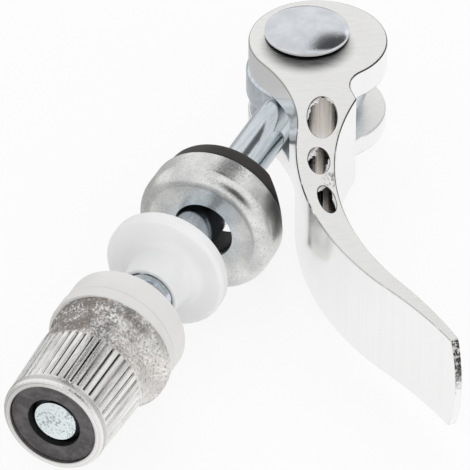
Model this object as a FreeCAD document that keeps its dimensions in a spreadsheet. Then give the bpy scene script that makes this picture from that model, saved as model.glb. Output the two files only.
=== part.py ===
# Quick release seatpost clamp: M6 eye bolt, cam lever on a riveted pin, cam saddle in a pressed cup,
# two nylon washers and a ribbed nut with a nylon locking ring.
# X runs along the bolt from the pivot to the nut, Z along the pivot pin. Millimetres.
import FreeCAD, Part
import math
import os
import Sketcher
from FreeCAD import Placement, Rotation, Vector

doc = FreeCAD.newDocument("seatpost_clamp")

# Driving dimensions: alias, value, what it is
driving = [
    ("bolt_reach", 72.7, "pivot to the bolt's tip"),
    ("shank_dia", 5.3, "plain shank"),
    ("thread_dia", 5.9, "outside of the rolled thread"),
    ("thread_start", 40.0, "pivot to the first thread"),
    ("thread_runout", 0.6, "taper from shank to thread"),
    ("bolt_chamfer", 0.4, "chamfer of the bolt's tip"),
    ("eye_dia", 15.0, "forged eye"),
    ("eye_thickness", 4.2, "flat sides of the eye"),
    ("eye_root", 1.2, "how deep the shank starts inside the eye"),
    ("eye_root_inset", 0.12, "shank's start inside the eye's flat sides"),
    ("eye_neck", 3.0, "taper from the eye to the round shank"),
    ("eye_edge", 0.5, "chamfer of the eye's rim"),
    ("pin_dia", 5.0, "rivet's shank"),
    ("pin_play", 0.06, "running gap of the eye on the rivet, on the radius"),
    ("pin_fit", 0.02, "gap of the rivet in the ears, on the radius"),
    ("head_dia", 10.5, "rivet's head"),
    ("head_undercut", 0.3, "chamfer under the head's rim"),
    ("head_rim", 0.7, "height of the head's rim"),
    ("head_dome", 0.6, "rise of the head's dome"),
    ("tail_dia", 6.6, "peened tail, flush in its countersink"),
    ("tail_depth", 1.2, "depth of the countersink"),
    ("lever_width", 12.5, "extrusion length of the lever"),
    ("lever_lift", 0.45, "lever's middle above the bolt's axis"),
    ("upper_ear", 3.8, "thickness of the ear under the head"),
    ("lower_ear", 2.4, "thickness of the ear at the tail"),
    ("slot_radius", 12.8, "clevis slot, round the pivot"),
    ("cam_radius", 8.56, "round cam end"),
    ("cam_offset_x", 0.5, "cam's centre along the bolt from the pivot"),
    ("cam_offset_y", 1.68, "cam's centre across the bolt from the pivot"),
    ("neck_x", 19.3, "inner edge where the neck turns outwards"),
    ("neck_y", 6.84, ""),
    ("neck_root", 20.4, "radius from the cam into the neck"),
    ("neck_angle", 18.5, "direction of the neck there, in degrees"),
    ("neck_depth", 5.15, "thickness of the neck there"),
    ("bend_x", 43.1, "inner edge where the blade begins to flare"),
    ("bend_y", 28.3, ""),
    ("bend_angle", 65.6, "direction of the blade there, in degrees"),
    ("bend_depth", 2.06, "thickness of the blade there"),
    ("flare_x", 8.13, "from the bend to the blade's end"),
    ("flare_y", 12.9, ""),
    ("flare_angle", 50.3, "direction of the blade's end, in degrees"),
    ("tip_depth", 0.8, "thickness of the blade's end"),
    ("tip_round", 16.5, "radius of the blade's end across its width"),
    ("tip_trim", 2.2, "what the rounding takes off the end"),
    ("nib_x", 10.08, "pointed nib behind the cam"),
    ("nib_y", 10.82, ""),
    ("nib_angle", 41.5, "slope of the nib's face, in degrees"),
    ("nib_hollow", 3.5, "radius of the hollow before the nib"),
    ("hollow1_x", 15.24, "largest hollow through the neck"),
    ("hollow1_y", 8.45, ""),
    ("hollow1_long", 8.3, ""),
    ("hollow1_wide", 3.5, ""),
    ("hollow1_angle", 22.5, ""),
    ("hollow2_x", 23.5, "middle hollow"),
    ("hollow2_y", 11.5, ""),
    ("hollow2_long", 5.2, ""),
    ("hollow2_wide", 2.44, ""),
    ("hollow2_angle", 27.0, ""),
    ("hollow3_x", 30.15, "smallest hollow"),
    ("hollow3_y", 15.35, ""),
    ("hollow3_long", 5.3, ""),
    ("hollow3_wide", 1.84, ""),
    ("hollow3_angle", 35.3, ""),
    ("seat_place", 29.2, "pivot to the cup's rim"),
    ("seat_drop_y", 0.75, "cup and saddle hang off the bolt's axis"),
    ("seat_drop_z", -0.3, ""),
    ("cup_dia", 17.2, "pressed cup"),
    ("cup_depth", 4.7, "rim to the top of the shoulder"),
    ("cup_wall", 0.9, "sheet"),
    ("cup_shoulder", 1.9, "outer radius of the shoulder"),
    ("cup_dish", 0.6, "how far the face sinks to the hole"),
    ("seat_hole_dia", 7.4, "hole through the cup"),
    ("saddle_hole_inset", 0.18, "saddle's hole inside the cup's, on the radius"),
    ("saddle_stand", 2.45, "saddle behind the cup's rim"),
    ("saddle_back_inset", 0.5, "saddle's back edge inside the cup's rim"),
    ("saddle_brim_inset", 0.2, "saddle's brim inside the cup's rim"),
    ("saddle_play", 0.08, "running gap of the saddle in the cup"),
    ("cradle_play", 0.45, "trough's radius over the cam's"),
    ("cradle_depth", 2.0, "trough across the saddle's back"),
    ("washer_hole_dia", 6.2, "hole of both nylon washers"),
    ("washer_dia", 15.1, "flange of the shouldered washer"),
    ("washer_place", 40.9, "pivot to the back of that flange"),
    ("washer_flange", 2.05, "thickness of that flange"),
    ("washer_edge", 0.4, "chamfer of its rim"),
    ("shoulder_dia", 7.9, "shoulder for the frame's hole"),
    ("shoulder_end_dia", 7.2, "shoulder's end"),
    ("shoulder_length", 4.6, ""),
    ("shoulder_fillet", 1.5, ""),
    ("collar_place", 52.9, "pivot to the plain face of the nut's washer"),
    ("collar_length", 5.6, ""),
    ("collar_edge", 0.5, "chamfer of its face"),
    ("collar_lip", 1.75, "wider lip at the nut"),
    ("collar_lip_step", 0.12, ""),
    ("nut_length", 15.0, ""),
    ("nut_rim", 0.8, "flange beyond the barrel, on the radius"),
    ("nut_flange_shift", 0.45, "flange is cast off the nut's axis"),
    ("nut_flange_length", 1.0, "straight edge of the flange"),
    ("nut_skirt", 3.0, "hollow flare from the flange to the barrel"),
    ("nut_band", 1.8, "smooth barrel before the ribs"),
    ("nut_narrowing", 0.35, "how much the barrel narrows, on the radius"),
    ("nut_lip", 0.28, "flat lip round the locking ring"),
    ("nut_nose", 1.3, "smooth end past the ribs"),
    ("nut_round", 0.7, "rounding of the end"),
    ("nut_thread_play", 0.06, "gap of the nut on the thread, on the radius"),
    ("rib_count", 44, ""),
    ("rib_depth", 0.35, ""),
    ("rib_gap_ratio", 0.44, "grooves' share of the pitch"),
    ("ring_dia", 10.6, "nylon locking ring"),
    ("ring_fit", 0.02, "gap of the ring in the nut, on the radius"),
    ("ring_length", 3.0, ""),
    ("ring_hole_dia", 6.4, ""),
    ("ring_sink", 0.45, "ring's face below the nut's end"),
]

sheet = doc.addObject("Spreadsheet::Sheet", "sizes")
for row, (alias, value, note) in enumerate(driving, start=1):
    sheet.set("A%d" % row, alias)
    sheet.set("B%d" % row, str(value))
    sheet.set("C%d" % row, note)
    sheet.setAlias("B%d" % row, alias)

# Places worked out from the driving dimensions
derived = [
    ("lever_top", "lever_lift + lever_width / 2"),
    ("lever_foot", "lever_lift - lever_width / 2"),
    ("slot_top", "lever_lift + lever_width / 2 - upper_ear"),
    ("slot_height", "lever_width - upper_ear - lower_ear"),
    ("eye_radius", "eye_dia / 2"),
    ("blade_end_x", "bend_x + flare_x"),
    ("blade_end_y", "bend_y + flare_y"),
    ("cup_face", "seat_place + cup_depth"),
    ("saddle_back", "seat_place - saddle_stand"),
    ("nut_place", "collar_place + collar_length"),
    ("nut_end_dia", "ring_dia + 2 * (ring_fit + nut_lip + nut_round)"),
    ("nut_root_dia", "nut_end_dia + 2 * nut_narrowing"),
    ("nut_flange_dia", "nut_root_dia + 2 * nut_rim"),
    ("collar_dia", "nut_flange_dia"),
    ("nut_end", "collar_place + collar_length + nut_length"),
    ("barrel_place", "collar_place + collar_length + nut_flange_length + nut_skirt"),
    ("rib_foot", "collar_place + collar_length + nut_flange_length + nut_skirt + nut_band"),
    ("rib_end", "collar_place + collar_length + nut_length - nut_nose"),
    ("ring_face", "collar_place + collar_length + nut_length - ring_sink"),
]
for row, (alias, formula) in enumerate(derived, start=len(driving) + 2):
    sheet.set("A%d" % row, alias)
    sheet.set("B%d" % row, "=" + formula)
    sheet.setAlias("B%d" % row, alias)
doc.recompute()

names = [alias for alias, *rest in driving + derived]


def cells(text):
    # puts the sheet's name before each alias of a formula
    words = []
    word = ""
    for letter in text + " ":
        if letter.isalnum() or letter == "_":
            word += letter
            continue
        words.append("sizes." + word if word in names else word)
        words.append(letter)
        word = ""
    return "".join(words).strip()


def value_of(text):
    found = sheet.evalExpression(cells(text))
    return float(getattr(found, "Value", found))


def new_body(label):
    body = doc.addObject("PartDesign::Body", label)
    body.Label = label
    return body


def new_sketch(body, name, role, lift=None):
    # a sketch on one of the body's own planes, lifted along its normal
    sketch = body.newObject("Sketcher::SketchObject", name)
    plane = [f for f in body.Origin.OriginFeatures if f.Role == role][0]
    sketch.AttachmentSupport = [(plane, "")]
    sketch.MapMode = "FlatFace"
    if lift:
        sketch.setExpression("AttachmentOffset.Base.z", cells(lift))
    return sketch


def tie(sketch, constraint, formula):
    index = sketch.addConstraint(constraint)
    sketch.setExpression("Constraints[%d]" % index, cells(formula))
    return index


def pin_point(sketch, geo, point, x, y):
    # ties a point's coordinates to two formulas; a zero puts it on the axis
    for kind, formula, axis in (("DistanceX", x, -2), ("DistanceY", y, -1)):
        if formula == "0":
            sketch.addConstraint(Sketcher.Constraint("PointOnObject", geo, point, axis))
        else:
            tie(sketch, Sketcher.Constraint(kind, -1, 1, geo, point, value_of(formula)), formula)


def ccw_arc(centre, start, end):
    # arc about a centre, counter-clockwise from start to end
    circle = Part.Circle(centre, Vector(0, 0, 1), (start - centre).Length)
    first = circle.parameter(start)
    last = circle.parameter(end)
    return Part.ArcOfCircle(circle, first, last if last > first else last + math.tau)


def arc_centre(start, end, radius, turn):
    # centre of the short arc; turn is +1 for a left-hand bend and -1 for a right-hand one
    chord = end - start
    left = Vector(-chord.y, chord.x, 0).normalize()
    rise = max(radius ** 2 - chord.Length ** 2 / 4, 0) ** 0.5
    return (start + end) * 0.5 + left * rise * turn


def draw_outline(sketch, stops):
    # closed outline: each stop is x, y and, where an arc leads to the next stop, its radius and turn
    spots = [Vector(value_of(x), value_of(y), 0) for x, y, *arc in stops]
    ends = []
    for number, (x, y, *arc) in enumerate(stops):
        here = spots[number]
        there = spots[(number + 1) % len(stops)]
        if not arc:
            geo = sketch.addGeometry(Part.LineSegment(here, there))
            ends.append((geo, 1, 2))
            continue
        radius, turn = arc
        centre = arc_centre(here, there, value_of(radius), turn)
        pair = (here, there) if turn > 0 else (there, here)
        geo = sketch.addGeometry(ccw_arc(centre, *pair))
        tie(sketch, Sketcher.Constraint("Radius", geo, value_of(radius)), radius)
        ends.append((geo, 1, 2) if turn > 0 else (geo, 2, 1))
    for number, (x, y, *arc) in enumerate(stops):
        geo, first, last = ends[number]
        before, unused, join = ends[number - 1]
        sketch.addConstraint(Sketcher.Constraint("Coincident", before, join, geo, first))
        pin_point(sketch, geo, first, x, y)


def turned(body, name, stops, role="XY_Plane", axis="H_Axis", kind="PartDesign::Revolution", shift=None):
    # a turned feature: half profile in one of the body's planes, spun round a sketch axis
    sketch = new_sketch(body, name + "_profile", role)
    if shift:
        sketch.setExpression("AttachmentOffset.Base.y", cells(shift))
    draw_outline(sketch, stops)
    feature = body.newObject(kind, name)
    feature.Profile = sketch
    feature.ReferenceAxis = (sketch, [axis])
    feature.Angle = 360
    return feature


def round_hole(body, name, radius, lift, depth=None, x="0", y="0"):
    # a round pocket cut down from the height given; with no depth it goes right through
    sketch = new_sketch(body, name + "_circle", "XY_Plane", lift)
    spot = Vector(value_of(x), value_of(y), 0)
    geo = sketch.addGeometry(Part.Circle(spot, Vector(0, 0, 1), value_of(radius)))
    tie(sketch, Sketcher.Constraint("Radius", geo, value_of(radius)), radius)
    pin_point(sketch, geo, 3, x, y)
    return pocket(body, name, sketch, depth)


def pocket(body, name, sketch, depth=None, symmetric=False):
    cut = body.newObject("PartDesign::Pocket", name)
    cut.Profile = sketch
    cut.SideType = "Symmetric" if symmetric else "One side"
    cut.Type = "Length" if depth else "ThroughAll"
    if depth:
        cut.setExpression("Length", cells(depth))
    return cut


def make_bolt():
    body = new_body("bolt")
    turned(body, "shank", [
        ("eye_radius - eye_root", "0"),
        ("bolt_reach", "0"),
        ("bolt_reach", "thread_dia / 2 - bolt_chamfer"),
        ("bolt_reach - bolt_chamfer", "thread_dia / 2"),
        ("thread_start + thread_runout", "thread_dia / 2"),
        ("thread_start", "shank_dia / 2"),
        ("eye_radius - eye_root + eye_neck", "shank_dia / 2"),
        ("eye_radius - eye_root", "eye_thickness / 2 - eye_root_inset"),
    ])
    turned(body, "eye", [
        ("0", "-eye_thickness / 2"),
        ("eye_radius - eye_edge", "-eye_thickness / 2"),
        ("eye_radius", "eye_edge - eye_thickness / 2"),
        ("eye_radius", "eye_thickness / 2 - eye_edge"),
        ("eye_radius - eye_edge", "eye_thickness / 2"),
        ("0", "eye_thickness / 2"),
    ], "XZ_Plane", "V_Axis")
    round_hole(body, "eye_hole", "pin_dia / 2 + pin_play", "eye_thickness")
    return body


def lever_outline(sketch):
    # side of the extrusion: cam, neck, flared blade and nib, as arcs that run into one another
    def spot(x, y):
        return Vector(value_of(x), value_of(y), 0)

    def carry_on(start, heading, end):
        # centre of the arc that leaves start along heading and reaches end, and its heading there
        normal = Vector(-heading.y, heading.x, 0)
        chord = end - start
        centre = start + normal * (chord.dot(chord) / (2 * chord.dot(normal)))
        along = Vector(chord).normalize()
        return centre, along * (2 * heading.dot(along)) - heading

    inner = {
        "neck": ("neck_x", "neck_y"),
        "bend": ("bend_x", "bend_y"),
        "end": ("blade_end_x", "blade_end_y"),
    }
    outer = {
        "neck": ("neck_x - neck_depth * sin(neck_angle)", "neck_y + neck_depth * cos(neck_angle)"),
        "bend": ("bend_x - bend_depth * sin(bend_angle)", "bend_y + bend_depth * cos(bend_angle)"),
        "end": ("blade_end_x - tip_depth * sin(flare_angle)", "blade_end_y + tip_depth * cos(flare_angle)"),
    }
    cam = spot("cam_offset_x", "cam_offset_y")
    cam_radius = value_of("cam_radius")
    neck_in = spot(*inner["neck"])
    bend_in = spot(*inner["bend"])
    end_in = spot(*inner["end"])
    neck_out = spot(*outer["neck"])
    bend_out = spot(*outer["bend"])
    end_out = spot(*outer["end"])
    nib = spot("nib_x", "nib_y")

    root = value_of("neck_root")
    gap = neck_in - cam
    reach = (gap.Length ** 2 + (cam_radius + root) ** 2 - root ** 2) / (2 * gap.Length)
    side = Vector(gap.y, -gap.x, 0).normalize()
    along = Vector(gap).normalize()
    root_centre = cam + along * reach + side * ((cam_radius + root) ** 2 - reach ** 2) ** 0.5
    cam_leave = cam + (root_centre - cam).normalize() * cam_radius
    spoke = (neck_in - root_centre).normalize()
    belly_centre, heading = carry_on(neck_in, Vector(spoke.y, -spoke.x, 0), bend_in)
    flare_centre = carry_on(bend_in, heading, end_in)[0]
    back_centre = Part.Circle(nib, neck_out, bend_out).Center
    spoke = (bend_out - back_centre).normalize()
    back_flare_centre = carry_on(bend_out, Vector(-spoke.y, spoke.x, 0), end_out)[0]

    slope = Vector(value_of("cos(nib_angle)"), value_of("sin(nib_angle)"), 0)
    hollow = value_of("nib_hollow")
    start = nib + Vector(-slope.y, slope.x, 0) * hollow - cam
    drop = start.dot(slope)
    run = drop - (drop ** 2 - start.dot(start) + (cam_radius + hollow) ** 2) ** 0.5
    nib_foot = nib - slope * run
    hollow_centre = nib_foot + Vector(-slope.y, slope.x, 0) * hollow
    cam_meet = cam + (hollow_centre - cam).normalize() * cam_radius

    cam_geo = sketch.addGeometry(ccw_arc(cam, cam_meet, cam_leave))
    root_geo = sketch.addGeometry(ccw_arc(root_centre, neck_in, cam_leave))
    belly_geo = sketch.addGeometry(ccw_arc(belly_centre, neck_in, bend_in))
    flare_geo = sketch.addGeometry(ccw_arc(flare_centre, end_in, bend_in))
    end_geo = sketch.addGeometry(Part.LineSegment(end_in, end_out))
    back_flare_geo = sketch.addGeometry(ccw_arc(back_flare_centre, end_out, bend_out))
    back_geo = sketch.addGeometry(ccw_arc(back_centre, nib, bend_out))
    nib_geo = sketch.addGeometry(Part.LineSegment(nib_foot, nib))
    hollow_geo = sketch.addGeometry(ccw_arc(hollow_centre, cam_meet, nib_foot))
    mark_geo = sketch.addGeometry(Part.Point(neck_out), True)

    for joint in ((cam_geo, 2, root_geo, 2), (root_geo, 1, belly_geo, 1), (belly_geo, 2, flare_geo, 2),
                  (back_flare_geo, 2, back_geo, 2), (nib_geo, 1, hollow_geo, 2), (hollow_geo, 1, cam_geo, 1)):
        sketch.addConstraint(Sketcher.Constraint("Tangent", *joint))
    for joint in ((flare_geo, 1, end_geo, 1), (end_geo, 2, back_flare_geo, 1), (back_geo, 1, nib_geo, 2)):
        sketch.addConstraint(Sketcher.Constraint("Coincident", *joint))
    sketch.addConstraint(Sketcher.Constraint("PointOnObject", mark_geo, 1, back_geo))
    for geo, point, place in ((cam_geo, 3, ("cam_offset_x", "cam_offset_y")), (belly_geo, 1, inner["neck"]),
                              (belly_geo, 2, inner["bend"]), (end_geo, 1, inner["end"]),
                              (end_geo, 2, outer["end"]), (back_geo, 2, outer["bend"]),
                              (mark_geo, 1, outer["neck"]), (nib_geo, 2, ("nib_x", "nib_y"))):
        pin_point(sketch, geo, point, *place)
    for geo, name in ((cam_geo, "cam_radius"), (root_geo, "neck_root"), (hollow_geo, "nib_hollow")):
        tie(sketch, Sketcher.Constraint("Radius", geo, value_of(name)), name)
    tie(sketch, Sketcher.Constraint("Angle", nib_geo, math.radians(value_of("nib_angle"))),
        "nib_angle * 1 deg")


def neck_hollows(sketch):
    # three oval cells through the neck
    for number in (1, 2, 3):
        size = {key: "hollow%d_%s" % (number, key) for key in ("x", "y", "long", "wide", "angle")}
        centre = Vector(value_of(size["x"]), value_of(size["y"]), 0)
        along = Vector(value_of("cos(%s)" % size["angle"]), value_of("sin(%s)" % size["angle"]), 0)
        across = Vector(-along.y, along.x, 0)
        far = centre + along * value_of(size["long"]) * 0.5
        near = centre + across * value_of(size["wide"]) * 0.5
        oval = sketch.addGeometry(Part.Ellipse(far, near, centre))
        long_axis = sketch.addGeometry(Part.LineSegment(centre - along * value_of(size["long"]) * 0.5, far), True)
        wide_axis = sketch.addGeometry(Part.LineSegment(centre - across * value_of(size["wide"]) * 0.5, near), True)
        sketch.addConstraint(Sketcher.Constraint("InternalAlignment:EllipseMajorDiameter", long_axis, oval))
        sketch.addConstraint(Sketcher.Constraint("InternalAlignment:EllipseMinorDiameter", wide_axis, oval))
        pin_point(sketch, oval, 3, size["x"], size["y"])
        tie(sketch, Sketcher.Constraint("Distance", long_axis, value_of(size["long"])), size["long"])
        tie(sketch, Sketcher.Constraint("Distance", wide_axis, value_of(size["wide"])), size["wide"])
        tie(sketch, Sketcher.Constraint("Angle", long_axis, math.radians(value_of(size["angle"]))),
            size["angle"] + " * 1 deg")


def make_lever():
    body = new_body("lever")
    side = new_sketch(body, "side_outline", "XY_Plane", "lever_foot")
    lever_outline(side)
    bar = body.newObject("PartDesign::Pad", "extrusion")
    bar.Profile = side
    bar.setExpression("Length", cells("lever_width"))

    cells_sketch = new_sketch(body, "hollow_ovals", "XY_Plane", "lever_top")
    neck_hollows(cells_sketch)
    pocket(body, "hollows", cells_sketch)
    round_hole(body, "clevis_slot", "slot_radius", "slot_top", "slot_height")
    round_hole(body, "pin_hole", "pin_dia / 2 + pin_fit", "lever_top")
    turned(body, "countersink", [
        ("0", "lever_foot"),
        ("tail_dia / 2 + pin_fit", "lever_foot"),
        ("pin_dia / 2 + pin_fit", "lever_foot + tail_depth"),
        ("0", "lever_foot + tail_depth"),
    ], "XZ_Plane", "V_Axis", "PartDesign::Groove")

    # the blade's end is rounded across its width, square to the blade
    trim = new_sketch(body, "tip_rounding", "XZ_Plane")
    trim.AttachmentOffset = Placement(Vector(0, 0, 0), Rotation(Vector(0, 1, 0), 1))
    trim.setExpression("AttachmentOffset.Base.x", cells("blade_end_x"))
    trim.setExpression("AttachmentOffset.Base.y", cells("lever_lift"))
    trim.setExpression("AttachmentOffset.Base.z", cells("-blade_end_y"))
    trim.setExpression("AttachmentOffset.Rotation.Angle", cells("flare_angle * 1 deg"))
    draw_outline(trim, [
        ("-tip_trim - tip_round", "-tip_round", "tip_round", 1),
        ("-tip_trim", "0", "tip_round", 1),
        ("-tip_trim - tip_round", "tip_round"),
        ("tip_round", "tip_round"),
        ("tip_round", "-tip_round"),
    ])
    pocket(body, "tip_cut", trim, "tip_round * 2", symmetric=True)
    return body


def make_pin():
    body = new_body("pivot_pin")
    turned(body, "rivet", [
        ("0", "lever_foot"),
        ("tail_dia / 2", "lever_foot"),
        ("pin_dia / 2", "lever_foot + tail_depth"),
        ("pin_dia / 2", "lever_top"),
        ("head_dia / 2 - head_undercut", "lever_top"),
        ("head_dia / 2", "lever_top + head_undercut"),
        ("head_dia / 2", "lever_top + head_rim", "((head_dia / 2) ^ 2 + head_dome ^ 2) / (2 * head_dome)", 1),
        ("0", "lever_top + head_rim + head_dome"),
    ], "XZ_Plane", "V_Axis")
    return body


def hang(body):
    # cup and saddle hang a little off the bolt's axis
    body.setExpression("Placement.Base.y", cells("seat_drop_y"))
    body.setExpression("Placement.Base.z", cells("seat_drop_z"))


def make_cup():
    body = new_body("cup_washer")
    turned(body, "pressing", [
        ("seat_place", "cup_dia / 2 - cup_wall"),
        ("cup_face - cup_shoulder", "cup_dia / 2 - cup_wall"),
        ("cup_face - cup_wall", "cup_dia / 2 - cup_shoulder"),
        ("cup_face - cup_wall - cup_dish", "seat_hole_dia / 2"),
        ("cup_face - cup_dish", "seat_hole_dia / 2"),
        ("cup_face", "cup_dia / 2 - cup_shoulder", "cup_shoulder", 1),
        ("cup_face - cup_shoulder", "cup_dia / 2"),
        ("seat_place", "cup_dia / 2"),
    ])
    hang(body)
    return body


def make_saddle():
    body = new_body("cam_saddle")
    turned(body, "moulding", [
        ("saddle_back", "seat_hole_dia / 2 - saddle_hole_inset"),
        ("cup_face - cup_wall - cup_dish - saddle_play", "seat_hole_dia / 2 - saddle_hole_inset"),
        ("cup_face - cup_wall - saddle_play", "cup_dia / 2 - cup_shoulder"),
        ("cup_face - cup_shoulder", "cup_dia / 2 - cup_wall - saddle_play"),
        ("seat_place - saddle_play", "cup_dia / 2 - cup_wall - saddle_play"),
        ("seat_place - saddle_play", "cup_dia / 2 - saddle_brim_inset"),
        ("saddle_back", "cup_dia / 2 - saddle_back_inset"),
    ])
    # the trough for the cam lies across the bolt, turned a quarter from the pin as the saddle hangs loose
    cradle = new_sketch(body, "cradle_circle", "XZ_Plane")
    radius = "cam_radius + cradle_play"
    centre = "saddle_back + cradle_depth - cam_radius - cradle_play"
    geo = cradle.addGeometry(Part.Circle(Vector(value_of(centre), 0, 0), Vector(0, 0, 1), value_of(radius)))
    tie(cradle, Sketcher.Constraint("Radius", geo, value_of(radius)), radius)
    pin_point(cradle, geo, 3, centre, "0")
    pocket(body, "cradle", cradle, "cup_dia", symmetric=True)
    hang(body)
    return body


def make_washer():
    body = new_body("shoulder_washer")
    turned(body, "moulding", [
        ("washer_place", "washer_hole_dia / 2"),
        ("washer_place + washer_flange + shoulder_length", "washer_hole_dia / 2"),
        ("washer_place + washer_flange + shoulder_length", "shoulder_end_dia / 2"),
        ("washer_place + washer_flange + shoulder_fillet", "shoulder_dia / 2", "shoulder_fillet", -1),
        ("washer_place + washer_flange", "shoulder_dia / 2 + shoulder_fillet"),
        ("washer_place + washer_flange", "washer_dia / 2 - washer_edge"),
        ("washer_place + washer_flange - washer_edge", "washer_dia / 2"),
        ("washer_place + washer_edge", "washer_dia / 2"),
        ("washer_place", "washer_dia / 2 - washer_edge"),
    ])
    return body


def make_collar():
    body = new_body("nut_washer")
    turned(body, "moulding", [
        ("collar_place", "washer_hole_dia / 2"),
        ("nut_place", "washer_hole_dia / 2"),
        ("nut_place", "collar_dia / 2 + collar_lip_step"),
        ("nut_place - collar_lip", "collar_dia / 2 + collar_lip_step"),
        ("nut_place - collar_lip", "collar_dia / 2"),
        ("collar_place + collar_edge", "collar_dia / 2"),
        ("collar_place", "collar_dia / 2 - collar_edge"),
    ])
    return body


def make_nut():
    body = new_body("ribbed_nut")
    turned(body, "barrel", [
        ("nut_place", "thread_dia / 2 + nut_thread_play"),
        ("ring_face - ring_length", "thread_dia / 2 + nut_thread_play"),
        ("ring_face - ring_length", "ring_dia / 2 + ring_fit"),
        ("nut_end", "ring_dia / 2 + ring_fit"),
        ("nut_end", "nut_end_dia / 2 - nut_round", "nut_round", 1),
        ("nut_end - nut_round", "nut_end_dia / 2"),
        ("rib_end", "nut_end_dia / 2"),
        ("rib_foot", "nut_root_dia / 2"),
        ("nut_place", "nut_root_dia / 2"),
    ])
    # the flange's flare runs out on the barrel on the side it is shifted to
    foot = "nut_root_dia / 2 - nut_flange_shift"
    drop = "(nut_flange_dia / 2 - nut_root_dia / 2 + nut_flange_shift)"
    turned(body, "flange", [
        ("nut_place", "ring_dia / 2"),
        ("barrel_place", "ring_dia / 2"),
        ("barrel_place", foot, "(nut_skirt ^ 2 + %s ^ 2) / (2 * %s)" % (drop, drop), -1),
        ("nut_place + nut_flange_length", "nut_flange_dia / 2"),
        ("nut_place", "nut_flange_dia / 2"),
    ], shift="nut_flange_shift")
    ends = []
    for name, place, dia in (("rib_gap_end", "rib_end", "nut_end_dia"), ("rib_gap_foot", "rib_foot", "nut_root_dia")):
        sketch = new_sketch(body, name, "YZ_Plane", place)
        half = "pi * %s / rib_count * rib_gap_ratio" % dia
        draw_outline(sketch, [
            ("0", "%s / 2 - rib_depth" % dia),
            (half, "%s / 2 + rib_depth" % dia),
            ("-" + half, "%s / 2 + rib_depth" % dia),
        ])
        ends.append(sketch)
    gap = body.newObject("PartDesign::SubtractiveLoft", "rib_gap")
    gap.Profile = ends[0]
    gap.Sections = [ends[1]]
    gap.Ruled = True
    ribs = body.newObject("PartDesign::PolarPattern", "ribs")
    ribs.Originals = [gap]
    ribs.Axis = (ends[0], ["N_Axis"])
    ribs.Angle = 360
    ribs.setExpression("Occurrences", cells("rib_count"))
    body.Tip = ribs
    return body


def make_ring():
    body = new_body("lock_ring")
    turned(body, "moulding", [
        ("ring_face - ring_length", "ring_hole_dia / 2"),
        ("ring_face", "ring_hole_dia / 2"),
        ("ring_face", "ring_dia / 2"),
        ("ring_face - ring_length", "ring_dia / 2"),
    ])
    return body


pieces = [make_bolt(), make_lever(), make_pin(), make_cup(), make_saddle(), make_washer(), make_collar(),
          make_nut(), make_ring()]
doc.recompute()

faults = [o.Name for o in doc.Objects if "Invalid" in o.State or "Error" in o.State]
for piece in pieces:
    if piece.Shape.isNull() or not piece.Shape.isValid() or len(piece.Shape.Solids) != 1:
        faults.append(piece.Label)
if faults:
    raise RuntimeError("not built: " + ", ".join(faults))

os.makedirs("parts", exist_ok=True)
for piece in pieces:
    piece.Shape.exportStep("parts/%s.step" % piece.Label)
    box = piece.Shape.BoundBox
    print("%s: volume %.1f, box %.2f %.2f %.2f to %.2f %.2f %.2f" % (
        piece.Label, piece.Shape.Volume, box.XMin, box.YMin, box.ZMin, box.XMax, box.YMax, box.ZMax))
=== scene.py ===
import math
import random
import bmesh
import bpy
from mathutils import Matrix, Vector


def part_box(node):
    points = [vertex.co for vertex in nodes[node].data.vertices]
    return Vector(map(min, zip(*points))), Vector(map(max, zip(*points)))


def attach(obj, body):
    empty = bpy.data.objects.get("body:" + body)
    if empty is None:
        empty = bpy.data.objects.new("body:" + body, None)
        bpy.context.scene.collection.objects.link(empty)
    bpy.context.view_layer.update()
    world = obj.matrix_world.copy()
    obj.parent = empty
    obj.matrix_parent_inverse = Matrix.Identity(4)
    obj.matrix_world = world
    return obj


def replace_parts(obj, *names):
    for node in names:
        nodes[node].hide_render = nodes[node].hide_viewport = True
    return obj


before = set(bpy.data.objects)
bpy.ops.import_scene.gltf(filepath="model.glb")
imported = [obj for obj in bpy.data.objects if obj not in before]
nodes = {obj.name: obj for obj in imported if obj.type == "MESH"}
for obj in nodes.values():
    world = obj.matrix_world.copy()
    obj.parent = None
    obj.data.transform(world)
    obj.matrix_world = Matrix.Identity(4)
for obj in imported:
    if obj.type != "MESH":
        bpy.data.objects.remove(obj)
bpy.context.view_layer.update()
mm = 0.001
print("frame loaded:", ", ".join(sorted(nodes)))


def inMetres(lengths):
    return tuple(length * mm for length in lengths)


def darker(colour, share):
    return tuple(channel * share for channel in colour)


# node tree helpers

def newMaterial(name, metallic=0.0):
    material = bpy.data.materials.new(name)
    material.use_nodes = True
    tree = material.node_tree
    shader = tree.nodes["Principled BSDF"]
    shader.inputs["Metallic"].default_value = metallic
    return material, tree, shader


def addNode(tree, kind, links=None, **settings):
    made = tree.nodes.new("ShaderNode" + kind)
    for key, value in settings.items():
        setattr(made, key, value)
    for socket, source in (links or {}).items():
        if isinstance(source, bpy.types.NodeSocket):
            tree.links.new(source, made.inputs[socket])
        else:
            made.inputs[socket].default_value = source
    return made


def setLinks(tree, shader, **links):
    for socket, source in links.items():
        tree.links.new(source, shader.inputs[socket.replace("_", " ")])


def objectPlace(tree):
    return addNode(tree, "TexCoord").outputs["Object"]


def objectNormal(tree):
    return addNode(tree, "TexCoord").outputs["Normal"]


def objectCoords(tree, scale=(1, 1, 1), turn=(0, 0, 0)):
    links = {"Vector": objectPlace(tree), "Scale": scale, "Rotation": turn}
    return addNode(tree, "Mapping", links).outputs["Vector"]


def turnedCoords(tree, degrees, scale):
    # coordinates turned about the pin's axis, then stretched
    turned = objectCoords(tree, turn=(0, 0, math.radians(degrees)))
    return addNode(tree, "Mapping", {"Vector": turned, "Scale": scale}).outputs["Vector"]


def part(tree, vector, axis):
    return addNode(tree, "SeparateXYZ", {0: vector}).outputs[axis]


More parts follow.
